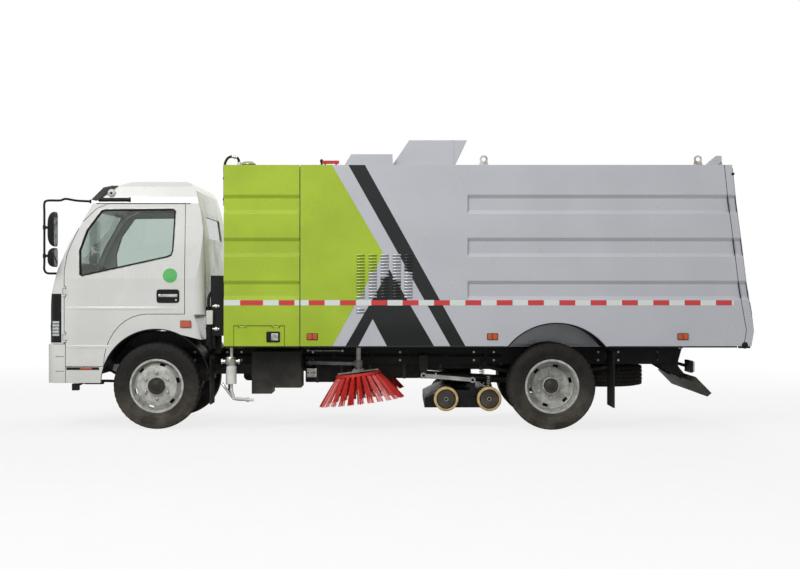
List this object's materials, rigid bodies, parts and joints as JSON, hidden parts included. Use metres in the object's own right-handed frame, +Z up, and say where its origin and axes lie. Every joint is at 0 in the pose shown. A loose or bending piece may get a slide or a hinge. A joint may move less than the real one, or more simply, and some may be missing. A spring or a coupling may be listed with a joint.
{
  "type": "street sweeper truck",
  "caption": "Cab-over street sweeper truck with a tipping hopper, top-hung rear door, side brushes and a wheeled suction head.",
  "frame": {"origin": "middle of the truck's outer box, on the ground", "axes": "-X forwards, -Y to the driver's side, +Z up"},
  "size_m": [6.785, 2.3, 2.818],
  "materials": {
    "frame_black": "satin",
    "engine_grey": "rough",
    "cab_white": "gloss",
    "green_paint": "gloss",
    "silver_paint": "gloss",
    "black_plastic": "satin",
    "lamp_clear": "gloss",
    "clear_glass": "clear",
    "rim_silver": "satin",
    "tyre_rubber": "matte",
    "flap_rubber": "matte",
    "seat_cloth": "woven",
    "filter_white": "gloss",
    "bare_steel": "satin",
    "brush_red": "satin",
    "castor_tan": "satin",
    "arm_grey": "satin"
  },
  "bodies": {
    "truck": {"chassis_frame": "frame_black", "front_axle": "frame_black", "rear_axle": "frame_black", "leaf_springs": "frame_black", "driveline": "engine_grey", "engine_block": "engine_grey", "fuel_tank": "frame_black", "battery_box": "frame_black", "front_module": "green_paint", "sweeper_engine": "engine_grey", "mud_flaps": "flap_rubber", "spare_wheel": "tyre_rubber", "underrun_bar": "frame_black", "water_filter": "filter_white", "intake_snorkel": "black_plastic", "suction_hose": "flap_rubber"},
    "cab": {"cab_shell": "cab_white", "bumper": "cab_white", "windscreen": "clear_glass", "cab_rear_window": "clear_glass", "headlights": "lamp_clear", "roof_visor": "black_plastic", "mirrors": "black_plastic", "dashboard": "black_plastic", "steering_wheel": "black_plastic", "seats": "seat_cloth"},
    "hopper": {"hopper_shell": "silver_paint", "roof_ducts": "silver_paint", "lifting_eyes": "bare_steel"},
    "rear_door": {"rear_door": "silver_paint"},
    "tilt_barrels": {"tilt_barrels": "frame_black"},
    "tilt_rods": {"tilt_rods": "bare_steel"},
    "rear_wheels_left": {"rear_rims_left": "rim_silver", "rear_tyres_left": "tyre_rubber"},
    "rear_wheels_right": {"rear_rims_right": "rim_silver", "rear_tyres_right": "tyre_rubber"},
    "suction_links": {"suction_links": "arm_grey"},
    "suction_box": {"suction_box": "black_plastic"},
    "door_left": {"door_left": "cab_white", "door_glass_left": "clear_glass"},
    "knuckle_left": {"knuckle_left": "frame_black"},
    "front_wheel_left": {"front_rim_left": "rim_silver", "front_tyre_left": "tyre_rubber"},
    "hatch_left": {"hatch_left": "green_paint"},
    "brush_arm_left": {"brush_arm_left": "arm_grey"},
    "brush_head_left": {"brush_head_left": "arm_grey"},
    "brush_left": {"brush_left": "brush_red"},
    "castor_front_left": {"castor_front_left": "castor_tan"},
    "castor_rear_left": {"castor_rear_left": "castor_tan"},
    "door_right": {"door_right": "cab_white", "door_glass_right": "clear_glass"},
    "knuckle_right": {"knuckle_right": "frame_black"},
    "front_wheel_right": {"front_rim_right": "rim_silver", "front_tyre_right": "tyre_rubber"},
    "hatch_right": {"hatch_right": "green_paint"},
    "brush_arm_right": {"brush_arm_right": "arm_grey"},
    "brush_head_right": {"brush_head_right": "arm_grey"},
    "brush_right": {"brush_right": "brush_red"},
    "castor_front_right": {"castor_front_right": "castor_tan"},
    "castor_rear_right": {"castor_rear_right": "castor_tan"}
  },
  "joints": [
    {"name": "cab_tilt", "type": "hinge", "parent": "truck", "child": "cab", "pos_m": [-3.2555, 0, 0.64], "axis": [0, -1, 0], "range_deg": [0, 45]},
    {"name": "body_tilt", "type": "hinge", "parent": "truck", "child": "hopper", "pos_m": [2.8075, 0, 0.783], "axis": [0, 1, 0], "range_deg": [0, 45]},
    {"name": "rear_door_swing", "type": "hinge", "parent": "hopper", "child": "rear_door", "pos_m": [3.1305, 0, 2.624], "axis": [0, -1, 0], "range_deg": [0, 80]},
    {"name": "tilt_barrel_swing", "type": "hinge", "parent": "truck", "child": "tilt_barrels", "pos_m": [1.7575, 0, 0.64], "axis": [0, 1, 0], "range_deg": [0, 70.3]},
    {"name": "tilt_rod_slide", "type": "slide", "parent": "tilt_barrels", "child": "tilt_rods", "axis": [-0.9905, 0, 0.1375], "range_m": [0, 0.6452]},
    {"name": "suction_lower", "type": "hinge", "parent": "truck", "child": "suction_links", "pos_m": [0.2475, 0, 0.505], "axis": [0, 1, 0], "range_deg": [0, 19]},
    {"name": "suction_level", "type": "hinge", "parent": "suction_links", "child": "suction_box", "pos_m": [0.7275, 0, 0.462], "axis": [0, 1, 0], "range_deg": [-19.2, 0]},
    {"name": "door_left_swing", "type": "hinge", "parent": "cab", "child": "door_left", "pos_m": [-3.2005, -1.002, 1.2], "axis": [0, 0, -1], "range_deg": [0, 70]},
    {"name": "steer_left", "type": "hinge", "parent": "truck", "child": "knuckle_left", "pos_m": [-2.3255, -0.725, 0.418], "axis": [0, 0, 1], "range_deg": [-32, 32]},
    {"name": "front_wheel_left_spin", "type": "hinge", "parent": "knuckle_left", "child": "front_wheel_left", "pos_m": [-2.3255, -0.855, 0.418], "axis": [0, 1, 0], "continuous": true},
    {"name": "rear_wheels_left_spin", "type": "hinge", "parent": "truck", "child": "rear_wheels_left", "pos_m": [1.4745, -0.8225, 0.418], "axis": [0, 1, 0], "continuous": true},
    {"name": "hatch_left_swing", "type": "hinge", "parent": "truck", "child": "hatch_left", "pos_m": [-1.3245, -1.094, 0.989], "axis": [-1, 0, 0], "range_deg": [0, 85]},
    {"name": "brush_left_swing", "type": "hinge", "parent": "truck", "child": "brush_arm_left", "pos_m": [-0.8725, -0.45, 0.622], "axis": [0, 0, -1], "range_deg": [0, 25]},
    {"name": "brush_left_lower", "type": "slide", "parent": "brush_arm_left", "child": "brush_head_left", "axis": [0, 0, -1], "range_m": [0, 0.18]},
    {"name": "brush_left_spin", "type": "hinge", "parent": "brush_head_left", "child": "brush_left", "pos_m": [-0.3875, -0.7, 0.515], "axis": [-0.1219, 0, 0.9925], "continuous": true},
    {"name": "castor_front_left_spin", "type": "hinge", "parent": "suction_box", "child": "castor_front_left", "pos_m": [0.4675, -0.752, 0.279], "axis": [0, 1, 0], "continuous": true},
    {"name": "castor_rear_left_spin", "type": "hinge", "parent": "suction_box", "child": "castor_rear_left", "pos_m": [0.8875, -0.752, 0.279], "axis": [0, 1, 0], "continuous": true},
    {"name": "door_right_swing", "type": "hinge", "parent": "cab", "child": "door_right", "pos_m": [-3.2005, 1.002, 1.2], "axis": [0, 0, 1], "range_deg": [0, 70]},
    {"name": "steer_right", "type": "hinge", "parent": "truck", "child": "knuckle_right", "pos_m": [-2.3255, 0.725, 0.418], "axis": [0, 0, 1], "range_deg": [-32, 32]},
    {"name": "front_wheel_right_spin", "type": "hinge", "parent": "knuckle_right", "child": "front_wheel_right", "pos_m": [-2.3255, 0.855, 0.418], "axis": [0, 1, 0], "continuous": true},
    {"name": "rear_wheels_right_spin", "type": "hinge", "parent": "truck", "child": "rear_wheels_right", "pos_m": [1.4745, 0.8225, 0.418], "axis": [0, 1, 0], "continuous": true},
    {"name": "hatch_right_swing", "type": "hinge", "parent": "truck", "child": "hatch_right", "pos_m": [-1.3245, 1.094, 0.989], "axis": [1, 0, 0], "range_deg": [0, 85]},
    {"name": "brush_right_swing", "type": "hinge", "parent": "truck", "child": "brush_arm_right", "pos_m": [-0.8725, 0.45, 0.622], "axis": [0, 0, 1], "range_deg": [0, 25]},
    {"name": "brush_right_lower", "type": "slide", "parent": "brush_arm_right", "child": "brush_head_right", "axis": [0, 0, -1], "range_m": [0, 0.18]},
    {"name": "brush_right_spin", "type": "hinge", "parent": "brush_head_right", "child": "brush_right", "pos_m": [-0.3875, 0.7, 0.515], "axis": [-0.1219, 0, 0.9925], "continuous": true},
    {"name": "castor_front_right_spin", "type": "hinge", "parent": "suction_box", "child": "castor_front_right", "pos_m": [0.4675, 0.752, 0.279], "axis": [0, 1, 0], "continuous": true},
    {"name": "castor_rear_right_spin", "type": "hinge", "parent": "suction_box", "child": "castor_rear_right", "pos_m": [0.8875, 0.752, 0.279], "axis": [0, 1, 0], "continuous": true}
  ],
  "couplings": [
    {"joint": "tilt_barrel_swing", "follows": "body_tilt", "ratio": 1.5586},
    {"joint": "tilt_rod_slide", "follows": "body_tilt", "m_per_rad": 0.819},
    {"joint": "suction_level", "follows": "suction_lower", "ratio": -1},
    {"joint": "steer_right", "follows": "steer_left", "ratio": 1}
  ]
}
